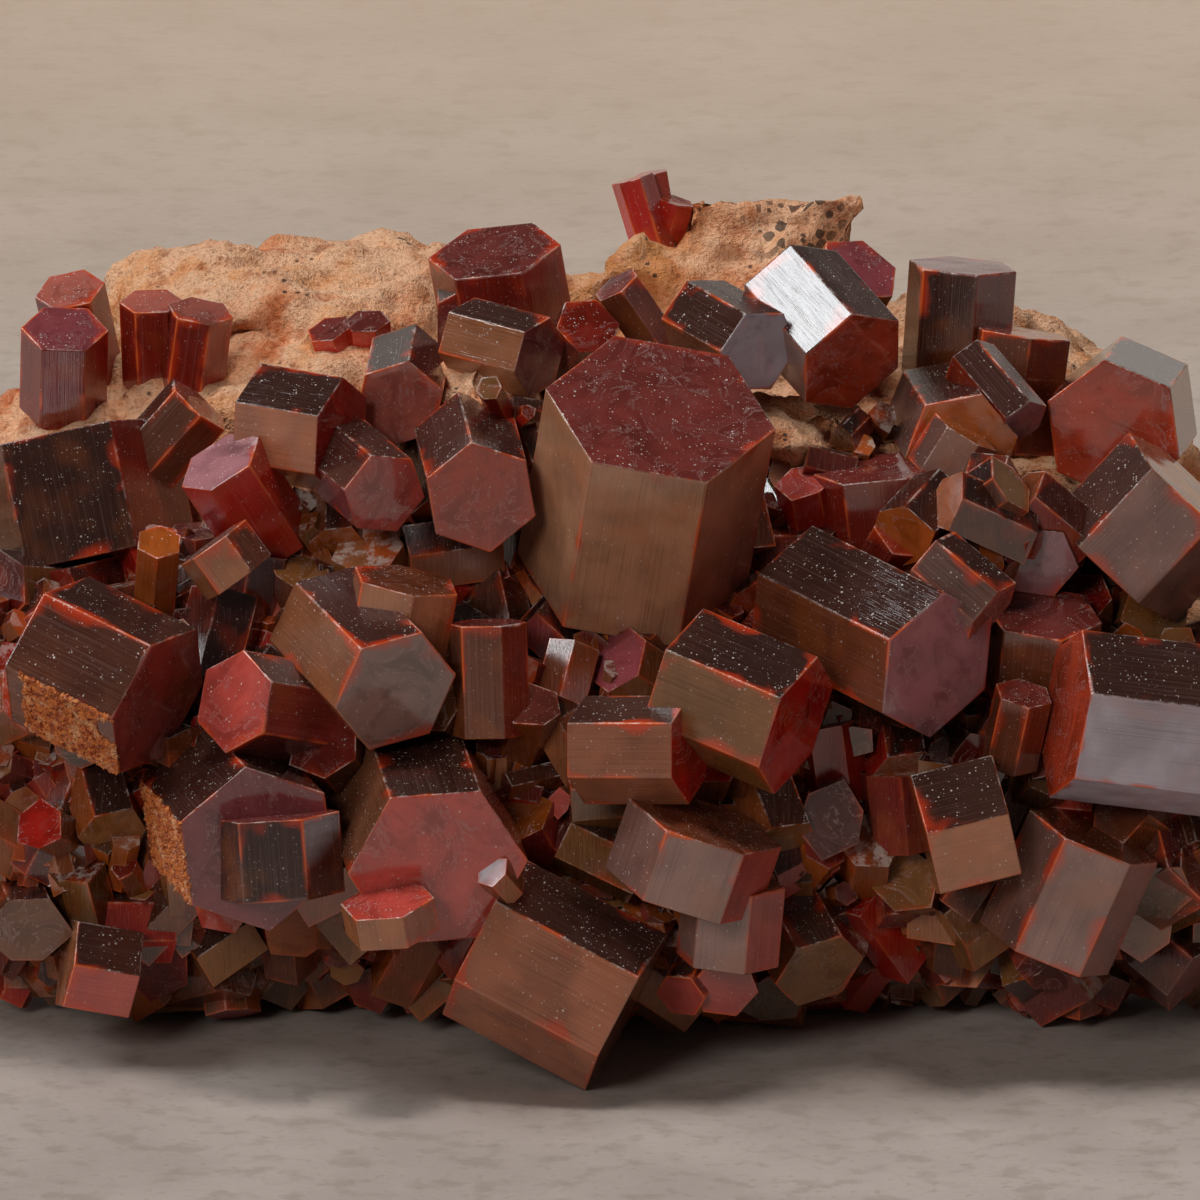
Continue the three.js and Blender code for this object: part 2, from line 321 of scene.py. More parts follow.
def noise(points, size, seed):
    """
    Smooth noise from 0 to 1 with lumps about `size` across: random numbers at the corners of
    a cubic lattice, blended with the weight 3t^2 - 2t^3 along each direction.
    """
    place = points / size
    base = np.floor(place).astype(np.int64)
    part = place - base
    part = part * part * (3 - 2 * part)
    total = 0
    for corner in np.ndindex(2, 2, 2):
        weight = np.where(np.array(corner) == 1, part, 1 - part).prod(-1)
        total = total + weight * lattice(base + np.array(corner), seed)
    return total


def layered(points, size, seed, layers=4):
    """Noise from -1 to 1: each finer layer has half the size and half the strength."""
    parts = [noise(points, size / 2 ** n, seed + n) * 2 - 1 for n in range(layers)]
    return sum(part / 2 ** n for n, part in enumerate(parts)) / (2 - 2 / 2 ** layers)


def along_line(place, size, seed):
    """The same noise along a line, for a plain array of places."""
    place = np.asarray(place, float)
    return noise(np.stack([place, place * 0 + 0.5, place * 0 + 0.5], -1), size, seed)


def ease(low, high, value):
    """0 below low, 1 above high, smooth between."""
    share = np.clip((value - low) / (high - low), 0, 1)
    return share * share * (3 - 2 * share)


LOW_END, TOP_END = 6, 7  # the numbers of the end faces, after the sides 0 to 5
CHIP = 0.05  # mm, the worn strip along each edge of a large crystal
CHIP_LINES = np.array([1, 2.4])  # where the lines of points beside an edge lie, in chips
MOST_WORN = 0.055  # of half a side's width, the widest a chip may be
ACROSS = 9  # lines of points on each side
ALONG = 25  # rings of points along the axis
RINGS_IN = 9  # rings of points on each end face
RIDGE = 0.02  # mm
DISH = 0.05  # mm, how far an end face rises and falls
BROKEN = 0.12  # mm, how far the free end's rim is broken down in places
FACE_APART = 23.7  # mm between faces in facet_place, so that none repeats another
PRISM_APART = (5.3, 3.1)  # mm between crystals in facet_place


def face_tints(normals, cap, side, red, chance):
    """
    One colour for each face of a crystal. End faces take the cap tone. Side faces run from
    the side tone where they look down or forward to near black where they look up, a painted
    reflection and shade: pale as if mirroring the lit floor, near black as if mirroring the dark
    room above. Faces that look right take some ember, a painted glow of light passing through
    the crystal from the left; `red` is how much.
    """
    up = normals[:, 2]
    right = normals[:, 0]
    # Painted shade and reflection: sides that look up are darkened towards near black.
    dark = ease(-0.05, 0.75, up)[:, None]
    tint = TONES[side] * (1 - dark) + TONES["near_black"] * dark
    # Painted glow: sides that look right take ember, as if lit through the crystal.
    painted_glow = (red * ease(0.3, 0.95, right) * (1 - 0.7 * ease(0.2, 0.9, up)))[:, None]
    tint = tint * (1 - painted_glow) + TONES["ember"] * painted_glow
    tint[LOW_END:] = TONES[cap]
    return tint * (0.82 + 0.36 * chance.random((8, 1)))


def whole_prism(prism, tones, order):
    """
    One hexagonal crystal as a closed grid, ring by ring along its axis. `place` runs over
    each of the six sides from -1 to 1 and `lift` along the axis, so a point is middle + half
    width * side normal + place * half side * side tangent + lift * axis. The edges are thin
    chips whose width wanders, the sides carry low ridges, and the end faces are the same
    outline shrunk towards the axis and slightly dished.
    """
    chance = np.random.default_rng(SEED + order)
    axis, ray, half = prism["axis"], prism["ray"], prism["half"]
    low, top = prism["low"], prism["top"]
    middle, span = (low + top) / 2, top - low
    cross = np.cross(axis, ray)
    side_half = half * math.tan(math.pi / 6)
    chip = CHIP * min(1, half / 3)

    # The places round the outline, then the heights of the rings, end face to end face.
    inner = np.linspace(-0.86, 0.86, ACROSS)
    across = np.tile(np.concatenate([[-1, -1], inner, [1, 1]]), 6)
    from_corner = np.tile(np.concatenate([CHIP_LINES, inner * 0, CHIP_LINES[::-1]]), 6)
    side = np.repeat(np.arange(6), across.size // 6)
    rows = np.concatenate([
        low + chip * CHIP_LINES,
        np.linspace(low + 0.06 * span, top - 0.06 * span, ALONG),
        top - chip * CHIP_LINES[::-1],
    ])
    rows = np.clip(np.sort(rows), low + chip, top - chip)
    shares = np.concatenate([1 - chip * CHIP_LINES / half, np.linspace(0.88, 0.08, RINGS_IN)])
    at_rings, at_rows = np.ones(shares.size), np.ones(rows.size)
    height = np.concatenate([at_rings * low, rows, at_rings * top])[:, None]
    share = np.concatenate([shares[::-1], at_rows, shares])[:, None]
    at_end = np.concatenate([at_rings, at_rows * 0, at_rings])[:, None]

    wander = along_line(height + 31 * side + 7 * order, 0.9, SEED)
    worn = np.minimum(chip * (1 + 7 * ease(0.7, 0.98, wander) ** 2), MOST_WORN * side_half)
    place = np.sign(across) * np.where(
        from_corner > 0, 1 - from_corner * worn / side_half, abs(across),
    )
    ridges = along_line(place * side_half + 13 * side + 91 * order, 0.5, SEED + 2) - 0.5
    reach = (half + RIDGE * ridges * (1 - at_end)) * share
    slide = place * side_half * share
    angle = side * math.pi / 3
    x = reach * np.cos(angle) - slide * np.sin(angle)
    y = reach * np.sin(angle) + slide * np.cos(angle)
    flat = np.stack([x, y, np.full_like(x, 0.5)], -1)
    dish = DISH * layered(flat + 17 * order, 1.6, SEED + 3, 2) * ease(1.0, 0.8, share)
    lift = height + at_end * dish * np.sign(height - middle)
    round_rim = along_line(np.arange(side.size) + 57 * order, 5.0, SEED + 1)
    near_top = height > top - 3 * chip
    lift = lift - BROKEN * (1 - at_end) * ease(0.7, 0.95, round_rim) * near_top
    centre = prism["centre"]
    points = centre + x[..., None] * ray + y[..., None] * cross + lift[..., None] * axis
    tips = np.array([centre + axis * low, centre + axis * top])

    normals = np.cos(SIXTHS)[:, None] * ray + np.sin(SIXTHS)[:, None] * cross
    tints = face_tints(np.vstack([normals, -axis, axis]), *tones, chance)
    face = np.where(at_end > 0, np.where(height > middle, TOP_END, LOW_END), side)
    edge = np.minimum((1 - abs(place)) * side_half, np.minimum(top - height, height - low))
    edge = np.where(at_end > 0, (1 - share) * half, edge)
    shift_x, shift_y = PRISM_APART[0] * order, PRISM_APART[1] * order
    lay_x = np.where(at_end > 0, x, place * side_half) + FACE_APART * face + shift_x
    lay_y = np.where(at_end > 0, y, height) + shift_y
    columns = {
        "tint": np.concatenate([tints[face].reshape(-1, 3), tints[[LOW_END, TOP_END]]]),
        "edge_distance": np.append(edge.ravel(), [half, half]),
        "end_face": np.append(np.broadcast_to(at_end, x.shape).ravel(), [1, 1]),
        "facet_place": np.vstack([
            np.stack([lay_x, lay_y, np.zeros_like(x)], -1).reshape(-1, 3),
            [[FACE_APART * end + shift_x, shift_y, 0] for end in (LOW_END, TOP_END)],
        ]),
    }
    grid = np.arange(x.size).reshape(x.shape)
    ahead = np.roll(grid, -1, axis=1)
    quads = np.stack([grid[:-1], ahead[:-1], ahead[1:], grid[1:]], -1).reshape(-1, 4)
    first = np.stack([ahead[0], grid[0], np.full(side.size, x.size)], -1)
    last = np.stack([grid[-1], ahead[-1], np.full(side.size, x.size + 1)], -1)
    return np.vstack([points.reshape(-1, 3), tips]), quads, np.vstack([first, last]), columns


def joined(parts):
    """Several closed shapes as one set of points, faces and columns, their numbering shifted."""
    start = 0
    points, quads, triangles, columns = [], [], [], {}
    for part_points, part_quads, part_triangles, part_columns in parts:
        points.append(part_points)
        quads.append(part_quads + start)
        triangles.append(part_triangles + start)
        for name, values in part_columns.items():
            columns.setdefault(name, []).append(values)
        start += len(part_points)
    return (
        np.vstack(points),
        np.vstack(quads).tolist() + np.vstack(triangles).tolist(),
        {name: np.concatenate(values) for name, values in columns.items()},
    )


def piece(name, points, faces, columns, finish, smooth=True):
    """Puts points in millimetres, faces and their attribute columns into one object."""
    mesh = bpy.data.meshes.new(name)
    mesh.from_pydata((points * MM).tolist(), [], faces)
    for label, values in columns.items():
        domain = "POINT" if len(values) == len(points) else "FACE"
        if label == "tint":
            layer = mesh.attributes.new(label, "FLOAT_COLOR", domain)
            layer.data.foreach_set("color", np.hstack([values, np.ones((len(values), 1))]).ravel())
        elif values.ndim == 2:
            layer = mesh.attributes.new(label, "FLOAT_VECTOR", domain)
            layer.data.foreach_set("vector", values.ravel())
        else:
            layer = mesh.attributes.new(label, "FLOAT", domain)
            layer.data.foreach_set("value", values)
    mesh.polygons.foreach_set("use_smooth", [smooth] * len(mesh.polygons))
    mesh.materials.append(finish)
    mesh.update()
    made = bpy.data.objects.new(name, mesh)
    bpy.context.scene.collection.objects.link(made)
    return made


# ---- finishes ----

CRYSTAL_INDEX = 1.95  # lower than the mineral's own, whose sheen would hide its colour
DEPTHS = (0.014, 0.003, 0.002)
# The colour of the painted gold glow on the sides.
GLOW_GOLD = (0.4, 0.1, 0.012)


class Socket:
    """A shader output that takes part in Python sums: each operator adds its Math node."""

    def __init__(self, finish, link):
        self.finish = finish
        self.link = link

    def sum_with(self, operation, *values):
        return self.finish.node("ShaderNodeMath", {"operation": operation}, dict(enumerate(values)))

    def __add__(self, other):
        return self.sum_with("ADD", self, other)

    def __sub__(self, other):
        return self.sum_with("SUBTRACT", self, other)

    def __rsub__(self, other):
        return self.sum_with("SUBTRACT", other, self)

    def __mul__(self, other):
        return self.sum_with("MULTIPLY", self, other)

    __radd__ = __add__
    __rmul__ = __mul__


class Nodes:
    """The nodes of one material, or of the room's light."""

    def __init__(self, owner):
        owner.use_nodes = True
        self.owner = owner
        self.tree = owner.node_tree
        self.tree.nodes.clear()
        self.mm = self.node("ShaderNodeVectorMath", {"operation": "SCALE"}, {
            0: self.node("ShaderNodeTexCoord", output="Object"), "Scale": 1 / MM,
        })

    def node(self, kind, settings=None, inputs=None, output=0):
        """Adds a node: its settings first, then values or links by socket name or number."""
        made = self.tree.nodes.new(kind)
        for name, value in (settings or {}).items():
            if name == "stops":
                while len(made.color_ramp.elements) < len(value):
                    made.color_ramp.elements.new(1)
                for stop, (place, colour) in zip(made.color_ramp.elements, value):
                    stop.position = place
                    stop.color = (*colour, 1)
            else:
                setattr(made, name, value)
        for name, value in (inputs or {}).items():
            if isinstance(value, Socket):
                self.tree.links.new(value.link, made.inputs[name])
            else:
                made.inputs[name].default_value = value
        return None if output is None else Socket(self, made.outputs[output])

    def attribute(self, name, output="Fac"):
        """What the piece's own attribute holds."""
        return self.node("ShaderNodeAttribute", {"attribute_name": name}, output=output)

    def lumps(self, size, place=None, detail=3, rough=0.55, twist=0):
        """Soft noise from 0 to 1 with lumps `size` millimetres across."""
        return self.node("ShaderNodeTexNoise", None, {
            "Vector": place or self.mm, "Scale": 1 / size, "Detail": detail,
            "Roughness": rough, "Distortion": twist,
        })

    def cells(self, size):
        """Distance to the nearest of scattered points about `size` millimetres apart."""
        return self.node("ShaderNodeTexVoronoi", None, {
            "Vector": self.mm, "Scale": 1 / size,
        }, "Distance")

    def specks(self, size, reach):
        """Round specks about `size` millimetres apart, each of its own width up to `reach`."""
        distance = self.cells(size)
        lot = self.part(Socket(self, distance.link.node.outputs["Color"]), "X")
        return self.ease(distance - lot * lot * reach, 0.05, -0.02)

    def stretched(self, place, sizes):
        """A place whose directions are stretched, so that noise on it turns to streaks."""
        return self.node("ShaderNodeVectorMath", {"operation": "DIVIDE"}, {0: place, 1: sizes})

    def ease(self, value, low, high, start=0.0, end=1.0):
        """From start to end while the value goes from low to high, smooth at both ends."""
        return self.node("ShaderNodeMapRange", {"interpolation_type": "SMOOTHSTEP"}, {
            "Value": value, "From Min": low, "From Max": high, "To Min": start, "To Max": end,
        })

    def blend(self, share, first, second):
        """Two colours mixed by a share from 0 to 1."""
        first, second = [
            value if isinstance(value, Socket) else (*value, 1) for value in (first, second)
        ]
        return self.node("ShaderNodeMix", {"data_type": "RGBA"}, {
            0: share, 6: first, 7: second,
        }, 2)

    def part(self, vector, output):
        """One coordinate of a vector."""
        return self.node("ShaderNodeSeparateXYZ", None, {0: vector}, output)

    def near(self, point, inner, outer):
        """1 within `inner` millimetres of a point, falling to 0 at `outer`."""
        away = self.node("ShaderNodeVectorMath", {"operation": "DISTANCE"}, {
            0: self.mm, 1: tuple(point),
        }, "Value")
        return self.ease(away, outer, inner)

    def up(self):
        """How far the surface looks up: 1 level and facing up, -1 facing down."""
        return self.part(self.node("ShaderNodeNewGeometry", output="Normal"), "Z")

    def bump(self, height, depth, strength):
        """A Bump node for a height from 0 to 1 that stands `depth` millimetres."""
        return self.node("ShaderNodeBump", None, {
            "Strength": strength, "Distance": depth * MM, "Height": height,
        })

    def close(self, inputs):
        """Ends in one shader whose sockets take the values or links given."""
        shader = self.node("ShaderNodeBsdfPrincipled", None, inputs)
        self.node("ShaderNodeOutputMaterial", None, {"Surface": shader}, None)
        return self.owner


def vanadinite(name, laid=True, dust_amount=1.0, polish=0.08, edge_light=1.0):
    """
    Lustrous red-brown crystal. Striations run along the sides, faint curls mark the ends, and
    pale dust lies on what faces up. Painted light: red and orange glow along some edges and gold
    in patches on the sides that don't face up, as if light passed through the crystal; pale
    painted highlights along upward edges; and pale wisps on the ends and streaks along the
    striations, partly a real coating and partly a painted reflection. A crystal whose faces are
    laid out has their places in facet_place. `polish` is the roughness of its smoothest parts.
    """
    f = Nodes(bpy.data.materials.new(name))
    tint = f.attribute("tint", "Color")
    edge = f.attribute("edge_distance")
    end = f.attribute("end_face")
    place = f.attribute("facet_place", "Vector") if laid else f.mm
    side = 1 - end
    up = f.ease(f.up(), 0.0, 0.75)

    broad = f.lumps(2.6, detail=2)
    clouds = f.lumps(3.1, detail=2)
    clumps = f.lumps(0.8, detail=3, rough=0.7)
    fibres = f.lumps(1, f.stretched(place, (0.07, 9.0, 1)), detail=3, rough=0.7)
    curls = f.lumps(3.2, place, detail=4, rough=0.62, twist=2.6)
    from_line = f.node("ShaderNodeMath", {"operation": "ABSOLUTE"}, {0: curls - 0.5})
    wisps = f.ease(from_line, 0.024, 0.0) * f.ease(broad, 0.4, 0.6)

    clear = f.ease(clumps, 0.42, 0.62, 0.3, 1)
    crumbs = f.specks(0.3, 0.2)
    salt = f.specks(0.13, f.ease(clumps, 0.4, 0.66, 0.1, 0.36))
    dust = (crumbs * (up * 0.4 + 0.3) + salt * (up * 0.5 + 0.15)) * clear * dust_amount
    # A pale coating: wisps on the ends and streaks along the striations, partly real and partly a
    # painted reflection of the light above.
    film_and_sheen = end * (wisps * 0.36 + f.ease(curls, 0.5, 0.75) * 0.06)
    film_and_sheen = film_and_sheen + side * f.ease(fibres, 0.5, 0.72) * 0.12

    # From the inside out: cloudy depths, painted gold glow on the sides that don't face up, painted
    # glow along the edges, a pale coating with painted reflection, dust with painted highlights on
    # upward edges.
    shade = f.ease(broad, 0.3, 0.7) * 0.4 + side * f.ease(fibres, 0.5, 0.3) * 0.35
    shade = shade + end * f.ease(curls, 0.55, 0.35) * 0.25
    colour = f.blend(shade, tint, f.blend(0.85, tint, DEPTHS))
    # Painted glow: gold in patches on the sides that don't face up, as if light came through the
    # crystal.
    painted_gold_glow = side * f.ease(clouds, 0.5, 0.3) * (1 - up) * 0.5
    colour = f.blend(painted_gold_glow, colour, f.blend(0.5, tint, GLOW_GOLD))
    # Painted glow: red along the edges and thin orange lines at them, as if light came through the
    # thin edges.
    painted_glow = f.ease(clouds, 0.46, 0.62) * edge_light
    glow = 1 - f.ease(edge, 0.0, f.ease(broad, 0.4, 0.72, 0.2, 1.0))
    colour = f.blend(glow * painted_glow * 0.8, colour, tuple(TONES["edge_red"]))
    thin = 1 - f.ease(edge, 0.02, 0.1)
    colour = f.blend(thin * (painted_glow * 0.7 + 0.06), colour, tuple(TONES["edge_orange"]))
    colour = f.blend(film_and_sheen, colour, paint("#a9928f"))
    # Painted highlight: pale lines along edges that face up, as if they caught the light.
    painted_edge_highlight = thin * f.ease(clumps, 0.45, 0.6) * up * 0.4
    colour = f.blend(dust + painted_edge_highlight, colour, paint("#ebe4de"))

    relief = side * fibres + end * curls * 0.7
    return f.close({
        "Base Color": colour,
        "Roughness": f.ease(fibres, 0.3, 0.8, polish, polish + 0.07) + dust * 0.5 + film_and_sheen * 0.3,
        "IOR": CRYSTAL_INDEX,
        "Normal": f.bump(relief, 0.03, 0.5),
    })


def matrix_rock(name, speckled, ochre):
    """
    Sugary tan rock: cream, pink and rust patches, fine grain and small dark specks. Round the
    point `speckled` the dark specks are large and close, and round `ochre` the rock is yellow.
    """
    f = Nodes(bpy.data.materials.new(name))
    wide = f.lumps(6, detail=4, rough=0.6, twist=0.4)
    middle = f.lumps(1.5, detail=5, rough=0.7)
    grain = f.lumps(0.26, detail=3, rough=0.75)
    colour = f.node("ShaderNodeValToRGB", {"stops": [
        (0.3, paint("#cb6a38")), (0.42, paint("#e8996a")), (0.53, paint("#f6c5a0")),
        (0.62, paint("#f0a974")), (0.72, paint("#e2873e")),
    ]}, {0: wide})
    colour = f.blend(f.ease(middle, 0.4, 0.66) * 0.6, colour, paint("#fbcba4"))
    colour = f.blend(f.ease(middle, 0.48, 0.32) * 0.7, colour, paint("#9c4f2c"))
    colour = f.blend(f.ease(grain, 0.5, 0.32) * 0.55, colour, paint("#9a6440"))
    colour = f.blend(f.ease(grain, 0.58, 0.72) * 0.45, colour, paint("#f3dcc2"))
    patchy = f.ease(f.lumps(1.3, detail=4), 0.38, 0.6, 0.3, 0.8)
    colour = f.blend(f.near(ochre, 1.5, 6.5) * patchy, colour, paint("#dd9452"))
    dendrites = f.ease(f.cells(0.55), 0.32, 0.16) * f.ease(f.lumps(2.8, detail=2), 0.58, 0.66)
    blots = f.specks(0.62, 0.85) * f.near(speckled, 1.4, 4.0)
    colour = f.blend(blots * 0.85, colour, paint("#463c37"))
    colour = f.blend(dendrites * 0.9, colour, paint("#3a3431"))
    flecks = f.ease(f.cells(1.5), 0.1, 0.05)
    colour = f.blend(flecks * 0.8, colour, paint("#42332a"))
    rough_face = middle * 0.6 + grain * 0.4
    return f.close({
        "Base Color": colour,
        "Roughness": f.ease(grain, 0.2, 0.8, 0.82, 0.97),
        "IOR": 1.5,
        "Normal": f.bump(rough_face, 0.8, 1.0),
    })


def rusty_sand(name):
    """Loose sugary grains, from rust red through orange to pale tan."""
    f = Nodes(bpy.data.materials.new(name))
    grain = f.lumps(0.3, detail=2, rough=0.7)
    colour = f.blend(f.ease(grain, 0.35, 0.6), paint("#8f3a1a"), paint("#cf7a3e"))
    colour = f.blend(f.ease(f.lumps(0.8), 0.5, 0.7) * 0.7, colour, paint("#dfae82"))
    return f.close({
        "Base Color": colour,
        "Roughness": f.ease(grain, 0.3, 0.7, 0.35, 0.8),
        "IOR": 1.6,
    })


def floor_stone(name):
    """A pale honed floor with faint grey mottling and small marks, warmer further back."""
    f = Nodes(bpy.data.materials.new(name))
    cloud = f.lumps(14, detail=4)
    far = f.ease(f.part(f.mm, "Y"), 40, 280)
    fine = f.lumps(0.7, detail=3)
    colour = f.blend(f.ease(cloud, 0.35, 0.65), paint("#aa9f98"), paint("#b7aca5"))
    colour = f.blend(f.ease(f.lumps(2.2, detail=5), 0.5, 0.66) * 0.32, colour, paint("#83776d"))
    colour = f.blend(f.ease(fine, 0.55, 0.7) * 0.3, colour, paint("#82776c"))
    colour = f.blend(far * 0.8, colour, paint("#d6bda4"))
    return f.close({
        "Base Color": colour,
        "Roughness": f.ease(fine, 0.3, 0.7, 0.5, 0.7),
        "Normal": f.bump(fine, 0.03, 0.15),
    })


# ---- the rock ----

VOXEL = 0.4  # mm
SOFTENING = 4  # rounds of smoothing
SINK = 0.4  # mm, how far the skin is drawn in before its relief is added


def rock_piece(finish):
    """
    The rock with a broken, sugary skin: its CAD shape remeshed evenly, then each point moved
    along its normal by coarse ledges and fine grain. The ledges are noise rounded to levels
    and softened. The resting face stays flat, and nothing passes the CAD's box.
    """
    source = frame["nodes"]["matrix"]
    mesh = source.data.copy()
    bm = bmesh.new()
    bm.from_mesh(mesh)
    bmesh.ops.remove_doubles(bm, verts=bm.verts, dist=0.002 * MM)
    bm.to_mesh(mesh)
    bm.free()
    made = bpy.data.objects.new("rock", mesh)
    bpy.context.scene.collection.objects.link(made)
    remesh = made.modifiers.new("even", "REMESH")
    remesh.mode = "VOXEL"
    remesh.voxel_size = VOXEL * MM
    made.modifiers.new("soften", "SMOOTH").iterations = SOFTENING
    view = made.evaluated_get(bpy.context.evaluated_depsgraph_get())
    fine = bpy.data.meshes.new_from_object(view)
    made.modifiers.clear()
    made.data = fine
    points = vectors(fine.vertices, "co") / MM
    normals = vectors(fine.vertices, "normal")
    coarse = layered(points * (1, 1, 1.25), 6.5, 11, 3) * 4.2
    level = np.floor(coarse)
    ledges = level + ease(0.3, 0.7, coarse - level)
    crumbs = layered(points, 2.2, 23, 4)
    pits = ease(0.62, 0.8, noise(points, 1.3, 37))
    grit = layered(points, 1.0, 51, 2)
    move = 0.55 * ledges + 0.85 * crumbs + 0.2 * grit - 0.3 * pits - SINK
    above_rest = ease(0.0, 1.2, points[:, 2])
    points = points + normals * (move * above_rest)[:, None]
    points = np.clip(points, BOX_LOW + 0.01, BOX_HIGH)
    fine.vertices.foreach_set("co", (points * MM).ravel())
    fine.polygons.foreach_set("use_smooth", [True] * len(fine.polygons))
    fine.materials.clear()
    fine.materials.append(finish)
    fine.update()
    return made


# ---- the small crystals ----

POINTS_EACH = 42
QUADS_EACH = 36
MARGIN = 0.24  # of the radius, between a face's edge and the outline drawn inside it
UNEVEN = 0.16  # how much the six corners of one crystal differ in reach

# The tones of small crystals and how often each is drawn.
SMALL_TONES = {
    "umber": 11, "olive": 17, "tan": 11, "amber": 24, "rose": 5,
    "maroon": 7, "dark_red": 10, "clay": 5, "ember": 11, "purple": 1,
}

# The nodes they grow on, how many are tried on each, and their size there.
SOWN = (("small_crystal_crust", 3600, 1.0), ("matrix", 900, 0.85))
CLOSEST = 0.62  # of the sum of two radii, the nearest that neighbours may grow

# Ways that light could come to a small crystal, and how far along each to look for a large one.
# Each large one found there darkens the small one's tint as painted shade.
OPEN_WAYS = ((0, -1, 0.3), (-0.6, -1, 0.8), (0.6, -1, 0.8), (0, -0.4, 1), (-0.8, 0, 0.5))
LOOK_OUT = (1.5, 3.5)
PAINTED_SHADE_STEP = 0.075

# One small tilted crystal on the rose crystal, whose end looks up and to the left to mirror the
# left light, and whose end takes a pale silver tint as a painted highlight.
GLINT_FACING = (-0.433, -0.602, 0.671)
PAINTED_GLINT_TINT = (0.72, 0.69, 0.76)
GLINT_RADIUS = 0.8
GLINT_LENGTH = 2.0
GLINT_RISE = 0.35


def scattered(corners, areas, count, chance):
    """Random places on triangles, as many on each as its area asks for."""
    pick = chance.choice(len(areas), count, p=areas / areas.sum())
    one, two = np.sqrt(chance.random(count)), chance.random(count)
    shares = np.stack([1 - one, one * (1 - two), one * two], 1)
    return (corners[pick] * shares[..., None]).sum(1), pick


def inside_any(points, prisms, margin):
    """Which points lie in one of the prisms, each grown by the margin."""
    found = np.zeros(len(points), bool)
    for prism in prisms:
        axis, ray = prism["axis"], prism["ray"]
        away = points - prism["centre"]
        height = away @ axis
        cross = np.cross(axis, ray)
        normals = np.cos(SIXTHS)[:, None] * ray + np.sin(SIXTHS)[:, None] * cross
        reach = (away @ normals.T).max(1)
        found |= (
            (reach < prism["half"] + margin)
            & (height < prism["top"] + margin) & (height > prism["low"] - margin)
        )
    return found


def crowd(tips, axes, radius, length, shade, chance):
    """
    Many small prisms at once: corner point = tip - depth * axis + radius * (cos, sin) in the
    plane square to the axis. Each side and the end face carry the same outline again, drawn in
    by a margin, so that colour can change towards the edges. Each one's tint is darkened by its
    shade, a painted shade: a factor below 1 for those that sit deep between large crystals.
    """
    count = len(tips)
    spin = chance.uniform(0, math.pi / 3, count)
    first = np.cross(axes, SLANT)
    first /= np.linalg.norm(first, axis=1, keepdims=True)
    second = np.cross(axes, first)
    corner = (spin[:, None] + SIXTHS)[..., None]
    rays = np.cos(corner) * first[:, None] + np.sin(corner) * second[:, None]
    squash = 1 + UNEVEN * chance.normal(size=(count, 6)).clip(-1.2, 1.2)
    rim = rays * (radius[:, None] * squash)[..., None]
    tip_ring = tips[:, None] + rim
    root_ring = tip_ring - (length[:, None, None] * axes[:, None])
    along = MARGIN * radius / length
    ahead = np.roll(tip_ring, -1, 1)
    root_ahead = np.roll(root_ring, -1, 1)

    def between(across, down):
        """A point of each side: `across` from this corner to the next, `down` from the tip."""
        upper = tip_ring * (1 - across) + ahead * across
        lower = root_ring * (1 - across) + root_ahead * across
        down = down[:, None, None]
        return upper * (1 - down) + lower * down

    middle = tip_ring.mean(1, keepdims=True)
    rings = [
        tip_ring, root_ring,
        between(MARGIN, along), between(1 - MARGIN, along),
        between(1 - MARGIN, 1 - along), between(MARGIN, 1 - along),
        middle + (tip_ring - middle) * (1 - 1.2 * MARGIN),
    ]
    points = np.concatenate(rings, 1)

    # a to d are a side's corners, p to t those of the outline inside it, one of each ring.
    k = np.arange(6)
    n = (k + 1) % 6
    a, b, c, d = k, n, n + 6, k + 6
    p, q, r, t = k + 12, k + 18, k + 24, k + 30
    quads = np.concatenate([
        np.stack(corners, 1) for corners in (
            (t, r, q, p), (p, q, b, a), (q, r, c, b), (r, t, d, c), (t, p, a, d),
            (k, n, n + 36, k + 36),
        )
    ])
    offset = (np.arange(count) * POINTS_EACH)[:, None]
    all_quads = (quads[None] + offset[..., None]).reshape(-1, 4)
    caps = np.arange(36, 42) + offset
    roots = np.arange(11, 5, -1) + offset

    odds = np.array(list(SMALL_TONES.values()))
    odds = odds / odds.sum()
    bank = np.array([TONES[name] for name in SMALL_TONES])
    own = bank[chance.choice(len(bank), count, p=odds)] * shade[:, None]
    cap = bank[chance.choice(len(bank), count, p=odds)] * shade[:, None]
    normals = rays + np.roll(rays, -1, 1)
    normals /= np.linalg.norm(normals, axis=2, keepdims=True)
    # Painted shade and reflection: sides that look up are darkened towards near black.
    dark = ease(0.0, 0.8, normals[..., 2])[..., None]
    side = own[:, None] * (1 - dark) + TONES["near_black"] * dark
    side = side * chance.uniform(0.35, 1.35, (count, 6, 1))
    cap = (cap * chance.uniform(0.35, 1.2, (count, 1)))[:, None]
    face_tint = np.concatenate([np.tile(side, (1, 5, 1)), np.repeat(cap, 6, 1)], 1)
    depth = np.concatenate([np.zeros(12), np.ones(30)])
    columns = {
        "tint": np.vstack([face_tint.reshape(-1, 3), cap[:, 0], cap[:, 0]]),
        "edge_distance": (depth[None] * MARGIN * radius[:, None]).ravel(),
        "end_face": np.concatenate([np.tile([0.0] * 30 + [1.0] * 6, count), np.ones(2 * count)]),
    }
    return points.reshape(-1, 3), all_quads.tolist() + caps.tolist() + roots.tolist(), columns


